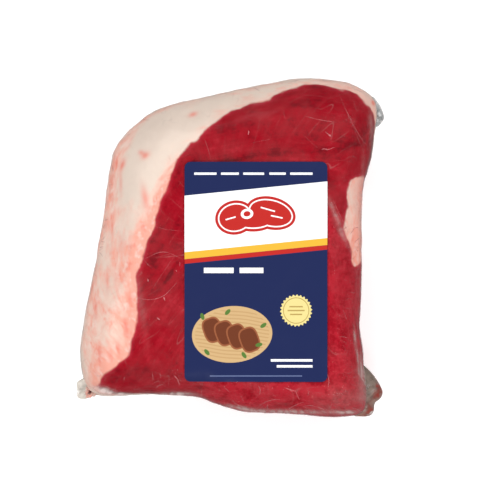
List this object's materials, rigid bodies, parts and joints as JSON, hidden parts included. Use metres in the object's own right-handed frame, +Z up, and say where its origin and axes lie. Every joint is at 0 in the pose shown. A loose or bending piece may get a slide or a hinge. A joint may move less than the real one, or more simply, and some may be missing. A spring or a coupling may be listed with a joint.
{
  "type": "vacuum-packed beef topside",
  "caption": "Boneless beef joint with a thick fat cap round one side, sealed in clear clinging film with loose corners, with a round-cornered paper label on its face.",
  "frame": {"origin": "on the surface the pack lies on, under the middle of its bounding box", "axes": "+Z up out of the face with the label, +Y towards the label's top edge, +X to the label's right, the side away from the fat cap"},
  "size_m": [0.2121, 0.2326, 0.077],
  "materials": {
    "lean": "moist raw lean beef under clear film",
    "fat": "moist cream fat with pink stains under clear film",
    "label_print": "coated paper, printed navy with a white band and a picture field",
    "bag_film": "clear glossy shrink film"
  },
  "bodies": {
    "root": {"lean_meat": "lean", "fat_cap": "fat", "side_fat": "fat", "label": "label_print", "bag_corner_lower_left": "bag_film", "bag_corner_upper_right": "bag_film", "bag_corner_lower_right": "bag_film"}
  },
  "joints": []
}
